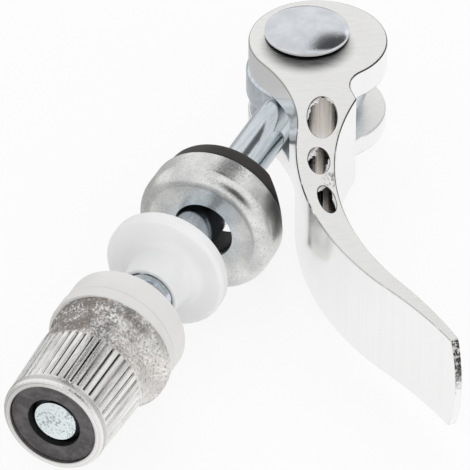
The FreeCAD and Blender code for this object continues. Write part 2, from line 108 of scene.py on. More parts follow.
def noise(tree, coords, scale, detail, rough, warp=0.0):
    links = {"Vector": coords, "Scale": scale, "Detail": detail, "Roughness": rough, "Distortion": warp}
    return addNode(tree, "TexNoise", links).outputs["Fac"]


def spread(tree, value, low, high, start=0.0, end=1.0):
    links = {"Value": value, "From Min": start, "From Max": end, "To Min": low, "To Max": high}
    return addNode(tree, "MapRange", links).outputs["Result"]


def smoothStep(tree, value, start, end, low=0.0, high=1.0):
    links = {"Value": value, "From Min": start, "From Max": end, "To Min": low, "To Max": high}
    return addNode(tree, "MapRange", links, interpolation_type="SMOOTHSTEP").outputs["Result"]


def fade(tree, value, lengths, low=0.0, high=1.0):
    return smoothStep(tree, value, *inMetres(lengths), low, high)


def maths(tree, operation, a, b=0.0):
    return addNode(tree, "Math", {0: a, 1: b}, operation=operation).outputs[0]


def product(tree, first, *others):
    for other in others:
        first = maths(tree, "MULTIPLY", first, other)
    return first


def vectorValue(tree, operation, a, b=(0, 0, 0)):
    return addNode(tree, "VectorMath", {0: a, 1: b}, operation=operation).outputs["Value"]


def flattened(tree, vector, keep):
    return addNode(tree, "VectorMath", {0: vector, 1: keep}, operation="MULTIPLY").outputs["Vector"]


def axisParts(tree):
    # place along the bolt and distance from its axis
    place = objectPlace(tree)
    return part(tree, place, "X"), vectorValue(tree, "LENGTH", flattened(tree, place, (0, 1, 1)))


def mixValue(tree, factor, first, second):
    links = {"Factor": factor, "A": first, "B": second}
    return addNode(tree, "Mix", links, data_type="FLOAT").outputs["Result"]


def mixColour(tree, factor, first, second):
    made = addNode(tree, "Mix", {"Factor": factor}, data_type="RGBA")
    for socket, value in ((6, first), (7, second)):  # the node's two colour sockets
        if isinstance(value, bpy.types.NodeSocket):
            tree.links.new(value, made.inputs[socket])
        else:
            made.inputs[socket].default_value = (*value, 1)
    return made.outputs[2]


def bump(tree, height, strength, depth):
    links = {"Height": height, "Strength": strength, "Distance": depth * mm}
    return addNode(tree, "Bump", links).outputs["Normal"]


def rayKinds(tree):
    # seen by the camera, and seen in or through another surface
    path = addNode(tree, "LightPath").outputs
    mirrored = maths(tree, "MAXIMUM", path["Is Glossy Ray"], path["Is Transmission Ray"])
    return path["Is Camera Ray"], mirrored


# camera, where the photograph was taken from

cameraSetup = {
    "place": (0.44414, 0.18498, 0.34400),
    "forward": (-0.72708, -0.31868, -0.60811),
    "focalPixels": 4763.5,
    "framePixels": 470,
    "sensor": 36.0,
    "farthest": 5,
}


def makeCamera(setup):
    data = bpy.data.cameras.new("photoCamera")
    data.sensor_width = setup["sensor"]
    data.lens = setup["focalPixels"] / setup["framePixels"] * setup["sensor"]
    data.clip_end = setup["farthest"]
    camera = bpy.data.objects.new("photoCamera", data)
    camera.location = setup["place"]
    camera.rotation_euler = Vector(setup["forward"]).to_track_quat("-Z", "Y").to_euler()
    bpy.context.scene.collection.objects.link(camera)
    bpy.context.scene.camera = camera


makeCamera(cameraSetup)


# white studio: floor, world and soft lamps

studio = {
    "floorSize": 3.0,
    "floorColour": (0.93, 0.93, 0.93, 1),
    "floorRough": 0.9,
    "floorGloss": 0.1,
    "floorWhite": 0.86,  # share of plain white the camera sees in the floor, the rest keeps the shadow
    "floorMirrored": 0.78,  # the same share for what polished faces see
    "floorShade": {"level": 0.45, "from": -0.022, "to": 0.002},  # left of the floor, for polished faces
    "lamps": [
        {"name": "backSoftbox", "place": (-0.55, -0.15, 0.75), "size": 0.9, "watts": 2.9},
        {"name": "rightSoftbox", "place": (0.42, 0.72, 0.25), "size": 0.8, "watts": 2.7},
        {"name": "leftSoftbox", "place": (0.35, -0.7, 0.5), "size": 0.8, "watts": 1.1},
        {"name": "frontSoftbox", "place": (0.75, 0.1, 0.45), "size": 0.8, "watts": 1.3},
    ],
    "aim": (0.03, 0.01, 0.0),
    "white": (1, 1, 1, 1),
    "ambient": 0.52,
    "mirrored": 0.92,  # what polished faces see of the white tent
    "gaps": [  # darker openings of the tent: direction, where the edge starts and ends, depth
        {"towards": (-0.635, 0.062, 0.770), "edge": (0.957, 0.972), "depth": 0.90},
        {"towards": (0.66, 0.44, 0.61), "edge": (0.90, 0.955), "depth": 0.92},
        {"towards": (-0.72, 0.66, 0.20), "edge": (0.90, 0.99), "depth": 0.36},
        {"towards": (-0.819, 0.130, 0.559), "edge": (0.982, 0.990), "depth": -0.35},  # a bright panel
    ],
}


def makeWorld(setup):
    world = bpy.data.worlds.new("studioWorld")
    world.use_nodes = True
    bpy.context.scene.world = world
    tree = world.node_tree
    background = tree.nodes["Background"]
    direction = addNode(tree, "TexCoord").outputs["Generated"]
    tent = setup["mirrored"]
    for gap in setup["gaps"]:
        near = vectorValue(tree, "DOT_PRODUCT", direction, Vector(gap["towards"]).normalized())
        opening = smoothStep(tree, near, *gap["edge"], low=1.0, high=1.0 - gap["depth"])
        tent = product(tree, tent, opening)
    seen, mirrored = rayKinds(tree)
    level = mixValue(tree, mirrored, setup["ambient"], tent)
    setLinks(tree, background, Strength=mixValue(tree, seen, level, 1.0))
    background.inputs["Color"].default_value = setup["white"]


def makeFloor(setup):
    lowest = min(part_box(name)[0][2] for name in nodes)
    bm = bmesh.new()
    bmesh.ops.create_grid(bm, x_segments=1, y_segments=1, size=setup["floorSize"] / 2)
    bmesh.ops.translate(bm, verts=bm.verts, vec=(0, 0, lowest))
    mesh = bpy.data.meshes.new("studioFloor")
    bm.to_mesh(mesh)
    bm.free()
    floor = bpy.data.objects.new("studioFloor", mesh)
    bpy.context.scene.collection.objects.link(floor)
    material, tree, shader = newMaterial("floorPaper")
    shader.inputs["Base Color"].default_value = setup["floorColour"]
    shader.inputs["Roughness"].default_value = setup["floorRough"]
    shader.inputs["Specular IOR Level"].default_value = setup["floorGloss"]
    seen, mirrored = rayKinds(tree)
    shade = setup["floorShade"]
    across = part(tree, objectPlace(tree), "Y")
    shaded = smoothStep(tree, across, shade["from"], shade["to"], low=shade["level"])
    level = mixValue(tree, mirrored, 1.0, shaded)
    white = addNode(tree, "Emission", {"Color": setup["white"], "Strength": level})
    share = maths(tree, "MAXIMUM", product(tree, mirrored, setup["floorMirrored"]),
                  product(tree, seen, setup["floorWhite"]))
    mixed = addNode(tree, "MixShader", {0: share, 1: shader.outputs[0], 2: white.outputs[0]})
    setLinks(tree, tree.nodes["Material Output"], Surface=mixed.outputs[0])
    mesh.materials.append(material)


def makeLamps(setup):
    for lamp in setup["lamps"]:
        data = bpy.data.lights.new(lamp["name"], "AREA")
        data.shape = "SQUARE"
        data.size = lamp["size"]
        data.energy = lamp["watts"]
        light = bpy.data.objects.new(lamp["name"], data)
        light.location = lamp["place"]
        light.visible_glossy = False  # the tent gives the reflections
        aim = Vector(setup["aim"]) - Vector(lamp["place"])
        light.rotation_euler = aim.to_track_quat("-Z", "Y").to_euler()
        bpy.context.scene.collection.objects.link(light)


bpy.context.scene.view_settings.view_transform = "Standard"
makeWorld(studio)
makeFloor(studio)
makeLamps(studio)
print("studio and camera set")


# finishes, in millimetres: pairs say where a change starts and ends, bump is strength and depth

leverFinish = {
    "metal": (0.95, 0.945, 0.93),
    "sawDirection": 113.7,  # the saw ran across the extrusion this way
    "sawLines": (330, 2300, 240),
    "sawBands": (170, 900, 90),
    "sawDark": 0.93,  # share of the metal's colour left in the saw lines
    "dieLines": (1, 1, 0.015),  # drawn along the pin
    "cloudy": (0.96, 0.96, 0.955),
    "drawnDull": (0.925, 0.925, 0.925),
    "drawnBright": (0.94, 0.94, 0.935),
    "hollowWall": (0.945, 0.925, 0.905),
    "hollowDark": 0.86,
    "hollows": [  # place, half length, half width and turn of each oval, a little over size
        ((15.24, 8.45), 4.6, 2.15, 22.5),
        ((23.5, 11.5), 3.0, 1.6, 27.0),
        ((30.15, 15.35), 3.0, 1.3, 35.3),
    ],
    # colour of the painted dark reflection on the rounded edges
    "paintedEdgeReflection": (0.07, 0.065, 0.06),
    "edgeFade": (32, 44),  # from the rivet's axis
    "lowerCheek": (-2, 4),  # height, the painted dark line fainter below
    "headReach": (13, 21),  # the painted dark line is fainter on the head's left side too
    "bladeWay": (0.639, 0.769, 0),  # the way the blade's end faces
    "bladeEnd": (54, 56),
    "endBright": (0.95, 0.95, 0.945),
    "tornDark": (0.045, 0.042, 0.04),
    "tornBright": (0.62, 0.61, 0.60),
    "tornHeight": (0.0, 2.2),
    "tornRagged": 9,
    "topFace": (6.2, 6.6),  # height, bare below and marked above
    # painted shadow and reflection of the rivet's head on the top face
    "paintedRivetShadow": {"place": (2.38, 1.04, 0), "fade": (6.3, 3.6), "colour": (0.05, 0.05, 0.051)},
    "scuff": {"place": (26.2, 14.9, 0), "fade": (2.1, 0.9), "direction": 30, "lines": (700, 2100, 700),
              "strength": 0.85, "colour": (0.22, 0.205, 0.19)},
    "bump": (0.18, 0.06),
}


def makeLeverFinish(look):
    material, tree, shader = newMaterial("sawnAluminium", metallic=1)
    place, normal = objectPlace(tree), objectNormal(tree)
    flatPlace = flattened(tree, place, (1, 1, 0))
    reach = vectorValue(tree, "LENGTH", flatPlace)
    height = part(tree, place, "Z")
    up = maths(tree, "ABSOLUTE", part(tree, normal, "Z"))
    flat = smoothStep(tree, up, 0.93, 0.99)  # the two sawn faces
    sawTurn = -look["sawDirection"]
    saw = noise(tree, turnedCoords(tree, sawTurn, look["sawLines"]), 1.0, 3.0, 0.6, warp=1.1)
    sawWide = noise(tree, turnedCoords(tree, sawTurn, look["sawBands"]), 1.0, 2.0, 0.5, warp=0.9)
    draw = noise(tree, objectCoords(tree, scale=look["dieLines"]), 2400, 3.0, 0.6)
    cloud = noise(tree, objectCoords(tree), 160, 2.0, 0.5)

    sawLine = smoothStep(tree, saw, 0.30, 0.62)
    sawn = mixColour(tree, sawLine, darker(look["metal"], look["sawDark"]), look["metal"])
    sawn = mixColour(tree, smoothStep(tree, cloud, 0.3, 0.7, high=0.35), sawn, look["cloudy"])
    drawn = mixColour(tree, smoothStep(tree, draw, 0.35, 0.6), look["drawnDull"], look["drawnBright"])

    # walls of the three ovals
    inside = 0.0
    for centre, halfLong, halfWide, turn in look["hollows"]:
        links = {"Vector": place, "Location": inMetres((*centre, 0)),
                 "Rotation": (0, 0, math.radians(turn)), "Scale": (halfLong * mm, halfWide * mm, 1)}
        oval = addNode(tree, "Mapping", links, vector_type="TEXTURE").outputs["Vector"]
        away = vectorValue(tree, "LENGTH", flattened(tree, oval, (1, 1, 0)))
        inside = maths(tree, "MAXIMUM", inside, smoothStep(tree, away, 1.0, 0.98))
    wall = look["hollowWall"]
    wall = mixColour(tree, smoothStep(tree, draw, 0.3, 0.65), darker(wall, look["hollowDark"]), wall)
    colour = mixColour(tree, flat, mixColour(tree, inside, drawn, wall), sawn)

    # blade's end: torn and dark towards its upper corner, rubbed bright below
    facing = vectorValue(tree, "DOT_PRODUCT", normal, look["bladeWay"])
    end = product(tree, smoothStep(tree, facing, 0.62, 0.78), fade(tree, reach, look["bladeEnd"]))
    torn = noise(tree, objectCoords(tree), 2300, 3.0, 0.7)
    ragged = product(tree, maths(tree, "SUBTRACT", torn, 0.5), look["tornRagged"] * mm)
    ragged = fade(tree, maths(tree, "ADD", height, ragged), look["tornHeight"])
    tornOff = smoothStep(tree, torn, 0.46, 0.60)
    tornColour = mixColour(tree, tornOff, look["tornDark"], look["tornBright"])
    colour = mixColour(tree, end, colour, mixColour(tree, ragged, look["endBright"], tornColour))

    # thin dark lines on the rounded edges: painted dark reflection
    leftSide = smoothStep(tree, part(tree, normal, "Y"), -0.25, 0.05)
    edge = product(tree, smoothStep(tree, up, 0.04, 0.20), smoothStep(tree, up, 0.99, 0.93),
                   fade(tree, reach, look["edgeFade"], low=1.0, high=0.35),
                   fade(tree, height, look["lowerCheek"], low=0.3),
                   maths(tree, "MAXIMUM", leftSide, fade(tree, reach, look["headReach"], low=0.6)),
                   smoothStep(tree, end, 0.6, 0.1))
    patchy = smoothStep(tree, noise(tree, objectCoords(tree), 420, 3.0, 0.6), 0.28, 0.44)
    # painted dark reflection along the rounded edges
    colour = mixColour(tree, product(tree, edge, patchy), colour, look["paintedEdgeReflection"])

    # painted shadow and reflection of the rivet's head on the top face, and scuffs beside the ovals
    topFace = fade(tree, height, look["topFace"])
    paintedRivetShadow, scuff = look["paintedRivetShadow"], look["scuff"]
    rivetShadowDistance = vectorValue(tree, "DISTANCE", flatPlace, inMetres(paintedRivetShadow["place"]))
    # painted shadow and reflection round the rivet's head
    paintedShadowMask = product(tree, fade(tree, rivetShadowDistance, paintedRivetShadow["fade"]), topFace,
                     smoothStep(tree, saw, 0.30, 0.62, low=0.96, high=0.86))
    colour = mixColour(tree, paintedShadowMask, colour, paintedRivetShadow["colour"])
    apart = vectorValue(tree, "DISTANCE", flatPlace, inMetres(scuff["place"]))
    scratch = noise(tree, turnedCoords(tree, -scuff["direction"], scuff["lines"]), 1.0, 3.0, 0.7)
    scuffed = product(tree, smoothStep(tree, scratch, 0.44, 0.54), fade(tree, apart, scuff["fade"]),
                      product(tree, topFace, scuff["strength"]))
    colour = mixColour(tree, scuffed, colour, scuff["colour"])

    rough = mixValue(tree, flat, spread(tree, draw, 0.13, 0.19), spread(tree, saw, 0.28, 0.42))
    ripple = maths(tree, "ADD", saw, product(tree, sawWide, 0.6))
    relief = mixValue(tree, flat, product(tree, draw, 0.05), ripple)
    setLinks(tree, shader, Base_Color=colour, Roughness=rough, Normal=bump(tree, relief, *look["bump"]))
    return material


burrFinish = {"bright": (0.96, 0.955, 0.945), "grey": (0.66, 0.65, 0.64), "bump": (0.2, 0.05)}


def makeBurrFinish(look):
    material, tree, shader = newMaterial("tornAluminium", metallic=1)
    torn = noise(tree, objectCoords(tree), 1700, 3.0, 0.6)
    colour = mixColour(tree, smoothStep(tree, torn, 0.36, 0.52), look["grey"], look["bright"])
    setLinks(tree, shader, Base_Color=colour, Roughness=spread(tree, torn, 0.30, 0.45),
             Normal=bump(tree, torn, *look["bump"]))
    return material


rivetFinish = {
    "metal": (0.74, 0.765, 0.80),
    "shade": (0.62, 0.65, 0.69),
    "pit": (0.45, 0.47, 0.5),
    "rim": (0.88, 0.885, 0.89),  # side of the head, brighter and less metallic: painted highlight that the lamps light
    "rimTop": (7.40, 7.32),
    "rimMetal": 0.25,
    # painted shade in the gap under the head
    "gap": (0.03, 0.03, 0.032),
    "rimFoot": (7.0, 6.95),
    "bump": (0.24, 0.04),
}


def makeRivetFinish(look):
    material, tree, shader = newMaterial("platedRivet")
    fine = noise(tree, objectCoords(tree), 5200, 2.0, 0.6)
    cloud = noise(tree, objectCoords(tree), 420, 3.0, 0.55)
    colour = mixColour(tree, smoothStep(tree, cloud, 0.3, 0.7), look["shade"], look["metal"])
    colour = mixColour(tree, smoothStep(tree, fine, 0.62, 0.72, high=0.25), colour, look["pit"])
    height = part(tree, objectPlace(tree), "Z")
    # painted highlight on the head's brighter, less metallic side
    rim = fade(tree, height, look["rimTop"])
    colour = mixColour(tree, rim, colour, look["rim"])
    # painted shade in the gap under the head
    colour = mixColour(tree, fade(tree, height, look["rimFoot"]), colour, look["gap"])
    setLinks(tree, shader, Base_Color=colour, Roughness=spread(tree, cloud, 0.09, 0.16),
             Metallic=spread(tree, rim, 1.0, look["rimMetal"]), Normal=bump(tree, fine, *look["bump"]))
    return material


boltFinish = {
    "zinc": (0.68, 0.735, 0.775),
    "shade": (0.50, 0.55, 0.59),
    "pit": (0.26, 0.28, 0.30),
    "tip": (0.83, 0.905, 0.92),
    "tipSpeck": (0.36, 0.38, 0.39),
    "tipFace": (72.58, 72.6),
    "bump": (0.10, 0.04),
}


def makeBoltFinish(look):
    material, tree, shader = newMaterial("blueZinc", metallic=1)
    fine = noise(tree, objectCoords(tree), 4200, 3.0, 0.65)
    streak = noise(tree, objectCoords(tree, scale=(0.12, 1, 1)), 1900, 3.0, 0.5)
    streaky = smoothStep(tree, streak, 0.30, 0.60, low=0.35)
    colour = mixColour(tree, streaky, look["shade"], look["zinc"])
    colour = mixColour(tree, smoothStep(tree, fine, 0.60, 0.74, high=0.45), colour, look["pit"])
    patch = noise(tree, objectCoords(tree), 420, 2.0, 0.5)
    speck = noise(tree, objectCoords(tree), 2900, 2.0, 0.7)
    speck = maths(tree, "ADD", speck, spread(tree, patch, -0.12, 0.12, start=0.3, end=0.7))
    tip = mixColour(tree, smoothStep(tree, speck, 0.52, 0.64, high=0.75), look["tip"], look["tipSpeck"])
    along = part(tree, objectPlace(tree), "X")
    colour = mixColour(tree, fade(tree, along, look["tipFace"]), colour, tip)
    setLinks(tree, shader, Base_Color=colour, Roughness=spread(tree, fine, 0.10, 0.22),
             Normal=bump(tree, fine, *look["bump"]))
    return material


cupFinish = {
    "zinc": (0.82, 0.82, 0.80),
    "shade": (0.62, 0.625, 0.62),
    "pit": (0.36, 0.36, 0.36),
    "glint": (0.95, 0.95, 0.93),
    "blue": (0.66, 0.71, 0.745),  # round the hole
    "blueFade": (5.6, 3.8),
    "axis": (0.75, -0.3),  # the cup hangs a little off the bolt's axis
    "bump": (0.34, 0.06),
}


def makeCupFinish(look):
    material, tree, shader = newMaterial("satinZinc", metallic=1)
    toAxis = (0, -look["axis"][0] * mm, -look["axis"][1] * mm)
    centred = addNode(tree, "Mapping", {"Vector": objectPlace(tree), "Location": toAxis})
    away = vectorValue(tree, "LENGTH", flattened(tree, centred.outputs["Vector"], (0, 1, 1)))
    fine = noise(tree, objectCoords(tree), 4600, 3.0, 0.65)
    cloud = noise(tree, objectCoords(tree), 330, 3.0, 0.6)
    colour = mixColour(tree, smoothStep(tree, cloud, 0.3, 0.68), look["shade"], look["zinc"])
    colour = mixColour(tree, fade(tree, away, look["blueFade"], high=0.6), colour, look["blue"])
    colour = mixColour(tree, smoothStep(tree, fine, 0.56, 0.68, high=0.5), colour, look["pit"])
    colour = mixColour(tree, smoothStep(tree, fine, 0.43, 0.32, high=0.6), colour, look["glint"])
    setLinks(tree, shader, Base_Color=colour, Roughness=spread(tree, cloud, 0.17, 0.28),
             Normal=bump(tree, fine, *look["bump"]))
    return material


saddleFinish = {
    "nylon": (0.015, 0.013, 0.011),
    "worn": (0.027, 0.024, 0.021),
    "gloss": 0.3,
    "bump": (0.25, 0.05),
}


def makeSaddleFinish(look):
    material, tree, shader = newMaterial("blackNylon")
    grain = noise(tree, objectCoords(tree), 2600, 3.0, 0.6)
    cloud = noise(tree, objectCoords(tree), 300, 2.0, 0.5)
    colour = mixColour(tree, smoothStep(tree, cloud, 0.3, 0.7), look["nylon"], look["worn"])
    setLinks(tree, shader, Base_Color=colour, Roughness=spread(tree, grain, 0.42, 0.6),
             Normal=bump(tree, grain, *look["bump"]))
    shader.inputs["Specular IOR Level"].default_value = look["gloss"]
    return material


washerFinish = {"nylon": (0.86, 0.86, 0.865), "thin": (0.90, 0.90, 0.905), "seam": None}
collarFinish = {
    "nylon": (0.76, 0.752, 0.735),
    "thin": (0.82, 0.812, 0.795),
    "seam": 56.75,  # step of the mould, which holds dirt
    "seamFade": (0.13, 0.03),
    "dirt": (0.42, 0.40, 0.37),
}
milky = {"weight": 0.35, "radius": (1.0, 0.95, 0.9), "scale": 1.2, "bump": (0.06, 0.05)}


def makeNylonFinish(name, look):
    material, tree, shader = newMaterial(name)
    cloud = noise(tree, objectCoords(tree), 120, 2.0, 0.5)
    grain = noise(tree, objectCoords(tree), 1800, 2.0, 0.5)
    colour = mixColour(tree, smoothStep(tree, cloud, 0.3, 0.7), look["nylon"], look["thin"])
    if look["seam"]:
        along = part(tree, objectPlace(tree), "X")
        off = maths(tree, "ABSOLUTE", maths(tree, "SUBTRACT", along, look["seam"] * mm))
        colour = mixColour(tree, fade(tree, off, look["seamFade"], high=0.7), colour, look["dirt"])
    setLinks(tree, shader, Base_Color=colour, Roughness=spread(tree, grain, 0.32, 0.46),
             Normal=bump(tree, grain, *milky["bump"]))
    shader.inputs["Subsurface Weight"].default_value = milky["weight"]
    shader.inputs["Subsurface Radius"].default_value = milky["radius"]
    shader.inputs["Subsurface Scale"].default_value = milky["scale"] * mm
    return material


nutFinish = {
    "cast": (0.72, 0.69, 0.67),
    "stain": (0.30, 0.28, 0.265),
    "warmPatch": (0.42, 0.345, 0.305),
    "coolPatch": (0.27, 0.275, 0.29),
    "paintedShade": (0.23, 0.205, 0.185),
    "paintedShadeSide": (0, -0.85, 0.53),  # the side painted darker as shade; the opposite side is painted lighter as light
    "paintedShadeFade": (-1.0, 7.0),
    "frostAndPaintedLight": (0.95, 0.935, 0.915),
    "paintedLightFade": (0.5, -5.5),
    "pit": (0.10, 0.092, 0.088),
    "rubbed": (0.96, 0.955, 0.945),
    "ribDull": (0.72, 0.71, 0.695),
    "turnedBright": (0.95, 0.945, 0.935),
    "turnedDull": (0.62, 0.61, 0.60),
    # painted shade in the grooves, with some dirt
    "grooveShadeAndDirt": (0.05, 0.045, 0.042),
    "grooveFade": (0.16, 0.28),  # below the ribs' crests
    "crestRadius": (6.65, 6.3),
    "ribs": (64.3, 72.2),  # where they start and end along the bolt
    "ribStart": (64.0, 64.7),
    "grooveStop": (72.25, 72.15),
    "rimStart": (72.2, 72.5),
    "bump": (0.4, 0.12),
}


def makeNutFinish(look):
    material, tree, shader = newMaterial("castAlloy", metallic=1)
    along, away = axisParts(tree)

    # flange, as it was cast
    speck = noise(tree, objectCoords(tree), 3300, 3.0, 0.7)
    cloud = noise(tree, objectCoords(tree), 300, 3.0, 0.6)
    warm = noise(tree, objectCoords(tree), 210, 2.0, 0.5)
    cool = noise(tree, objectCoords(tree, scale=(1, 1.4, 0.8), turn=(0.8, 0.3, 0)), 330, 2.0, 0.5)
    side = vectorValue(tree, "DOT_PRODUCT", objectPlace(tree), look["paintedShadeSide"])
    frosted = maths(tree, "ADD", speck, spread(tree, cloud, -0.10, 0.10, start=0.3, end=0.7))
    cast = mixColour(tree, smoothStep(tree, cloud, 0.36, 0.62), look["stain"], look["cast"])
    cast = mixColour(tree, smoothStep(tree, warm, 0.48, 0.64, high=0.55), cast, look["warmPatch"])
    cast = mixColour(tree, smoothStep(tree, cool, 0.52, 0.64, high=0.65), cast, look["coolPatch"])
    # painted shade on one side of the flange and painted light on the other; the fine frost speckle is
    # the cast skin
    cast = mixColour(tree, fade(tree, side, look["paintedShadeFade"], high=0.62), cast, look["paintedShade"])
    cast = mixColour(tree, fade(tree, side, look["paintedLightFade"], high=0.55), cast, look["frostAndPaintedLight"])
    cast = mixColour(tree, smoothStep(tree, frosted, 0.52, 0.62, high=0.9), cast, look["frostAndPaintedLight"])
    cast = mixColour(tree, smoothStep(tree, speck, 0.44, 0.34, high=0.7), cast, look["pit"])

    # rubbed ribs, the turned rim past them, and painted shade with some dirt in the grooves
    streak = noise(tree, objectCoords(tree, scale=(0.12, 1, 1)), 1300, 3.0, 0.6)
    ribs = mixColour(tree, smoothStep(tree, streak, 0.36, 0.56), look["ribDull"], look["rubbed"])
    turnedAbout = addNode(tree, "CombineXYZ", {"X": away, "Y": product(tree, along, 0.3)})
    lines = smoothStep(tree, noise(tree, turnedAbout.outputs["Vector"], 5200, 2.0, 0.6), 0.40, 0.60)
    turned = mixColour(tree, lines, look["turnedDull"], look["turnedBright"])
    ribs = mixColour(tree, fade(tree, along, look["rimStart"]), ribs, turned)
    crest = spread(tree, along, *inMetres(look["crestRadius"] + look["ribs"]))
    filled = noise(tree, objectCoords(tree, scale=(0.06, 1, 1)), 620, 2.0, 0.6)  # some hold more dirt
    grooveShadeAndDirt = product(tree, fade(tree, maths(tree, "SUBTRACT", crest, away), look["grooveFade"]),
                     fade(tree, along, look["grooveStop"]),
                     smoothStep(tree, filled, 0.34, 0.58, low=0.25))
    ribs = mixColour(tree, grooveShadeAndDirt, ribs, look["grooveShadeAndDirt"])

    ribbed = fade(tree, along, look["ribStart"])
    rough = mixValue(tree, ribbed, spread(tree, speck, 0.30, 0.5), spread(tree, streak, 0.2, 0.34))
    relief = maths(tree, "ADD", speck, product(tree, cloud, 1.5))
    setLinks(tree, shader, Base_Color=mixColour(tree, ribbed, cast, ribs), Roughness=rough,
             Normal=bump(tree, relief, *look["bump"]))
    return material


ringFinish = {
    "nylon": (0.062, 0.058, 0.060),
    "scuff": (0.115, 0.108, 0.11),
    "dust": (0.16, 0.15, 0.15),
    "paintedBoreShade": (0.004, 0.004, 0.004),  # painted shade, black round the bolt
    "boreFade": (3.29, 3.23),
    "bump": (0.3, 0.06),
}


def makeRingFinish(look):
    material, tree, shader = newMaterial("ringNylon")
    grain = noise(tree, objectCoords(tree), 3200, 3.0, 0.65)
    scuff = noise(tree, objectCoords(tree, scale=(1, 0.6, 1), turn=(0.6, 0, 0)), 900, 3.0, 0.6)
    colour = mixColour(tree, smoothStep(tree, scuff, 0.44, 0.66), look["nylon"], look["scuff"])
    colour = mixColour(tree, smoothStep(tree, grain, 0.56, 0.68, high=0.7), colour, look["dust"])
    away = axisParts(tree)[1]
    # painted shade inside the bore
    colour = mixColour(tree, fade(tree, away, look["boreFade"]), colour, look["paintedBoreShade"])
    setLinks(tree, shader, Base_Color=colour, Roughness=spread(tree, grain, 0.45, 0.65),
             Normal=bump(tree, grain, *look["bump"]))
    return material


looks = {
    "bolt": makeBoltFinish(boltFinish),
    "lever": makeLeverFinish(leverFinish),
    "pivot_pin": makeRivetFinish(rivetFinish),
    "cup_washer": makeCupFinish(cupFinish),
    "cam_saddle": makeSaddleFinish(saddleFinish),
    "shoulder_washer": makeNylonFinish("milkNylon", washerFinish),
    "nut_washer": makeNylonFinish("collarNylon", collarFinish),
    "ribbed_nut": makeNutFinish(nutFinish),
    "lock_ring": makeRingFinish(ringFinish),
}
for name, material in looks.items():
    nodes[name].data.materials.clear()
    nodes[name].data.materials.append(material)
print("finishes set")


# copies of the solids with their sharp rims broken

brokenRims = {  # body each moves with and the width of its broken rims
    "lever": {"body": "lever", "rim": 0.19},
    "pivot_pin": {"body": "lever", "rim": 0.10},
    "cup_washer": {"body": "cup", "rim": 0.12},
    "cam_saddle": {"body": "saddle", "rim": 0.10},
    "shoulder_washer": {"body": "frame_washer", "rim": 0.15},
    "nut_washer": {"body": "nut_washer", "rim": 0.045},
    "ribbed_nut": {"body": "nut", "rim": 0.05},
    "lock_ring": {"body": "nut", "rim": 0.08},
}
copyCare = {
    "merge": 0.002,
    "sliver": 0.0001,
    "flatAngle": 0.3,
    "rimAngle": 30,  # edges that turn less are part of a curve
    "rimSegments": 2,
}


def mergedCopy(node):
    bm = bmesh.new()
    bm.from_mesh(nodes[node].data)
    bmesh.ops.remove_doubles(bm, verts=bm.verts, dist=copyCare["merge"] * mm)
    bmesh.ops.dissolve_degenerate(bm, edges=bm.edges, dist=copyCare["sliver"] * mm)
    flat = math.radians(copyCare["flatAngle"])
    bmesh.ops.dissolve_limit(bm, angle_limit=flat, verts=bm.verts, edges=bm.edges)
    return bm


def breakRims(bm, rim):
    least = math.radians(copyCare["rimAngle"])
    sharp = [edge for edge in bm.edges if edge.is_manifold and edge.calc_face_angle(0) > least]
    bmesh.ops.bevel(bm, geom=sharp, offset=rim * mm, offset_type="OFFSET", affect="EDGES",
                    segments=copyCare["rimSegments"], profile=0.5, material=-1, clamp_overlap=False)


def addPiece(bm, name, node, body):
    for face in bm.faces:
        face.smooth = True
    mesh = bpy.data.meshes.new(name)
    bm.to_mesh(mesh)
    bm.free()
    mesh.materials.append(looks[node])
    piece = bpy.data.objects.new(name, mesh)
    bpy.context.scene.collection.objects.link(piece)
    piece.modifiers.new("evenShading", "WEIGHTED_NORMAL").keep_sharp = True
    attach(piece, body)
    return piece


for node, setup in brokenRims.items():
    bm = mergedCopy(node)
    breakRims(bm, setup["rim"])
    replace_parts(addPiece(bm, node + "_rounded", node, setup["body"]), node)
print("rims broken on", len(brokenRims), "pieces")


# eye bolt with its rolled thread

boltShape = {
    "rim": 0.10,
    "shankEnd": 40.2,  # the plain cylinder is cut off here
    "threadStart": 40.5,
    "threadEnd": 72.25,
    "tip": 72.7,
    "tipRadius": 2.55,
    "tipPoints": 48,
    "pitch": 1.0,
    "ridge": [(0.0, 2.42), (0.10, 2.42), (0.44, 2.95), (0.56, 2.95), (0.90, 2.42), (1.0, 2.42)],
    "stepsPerTurn": 24,
    "spareTurns": 1.5,  # spun before the start and cut off
    "sharpAngle": 38,
    "cutWithin": 0.00001,
    "rimWithin": 0.01,
}


def cutAway(bm, place, side):
    everything = bm.verts[:] + bm.edges[:] + bm.faces[:]
    bmesh.ops.bisect_plane(bm, geom=everything, dist=boltShape["cutWithin"] * mm,
                           plane_co=(place * mm, 0, 0), plane_no=(side, 0, 0), clear_outer=True)


def rimAt(bm, place):
    within = boltShape["rimWithin"] * mm
    return [edge for edge in bm.edges if edge.is_boundary
            and all(abs(vert.co.x - place * mm) < within for vert in edge.verts)]


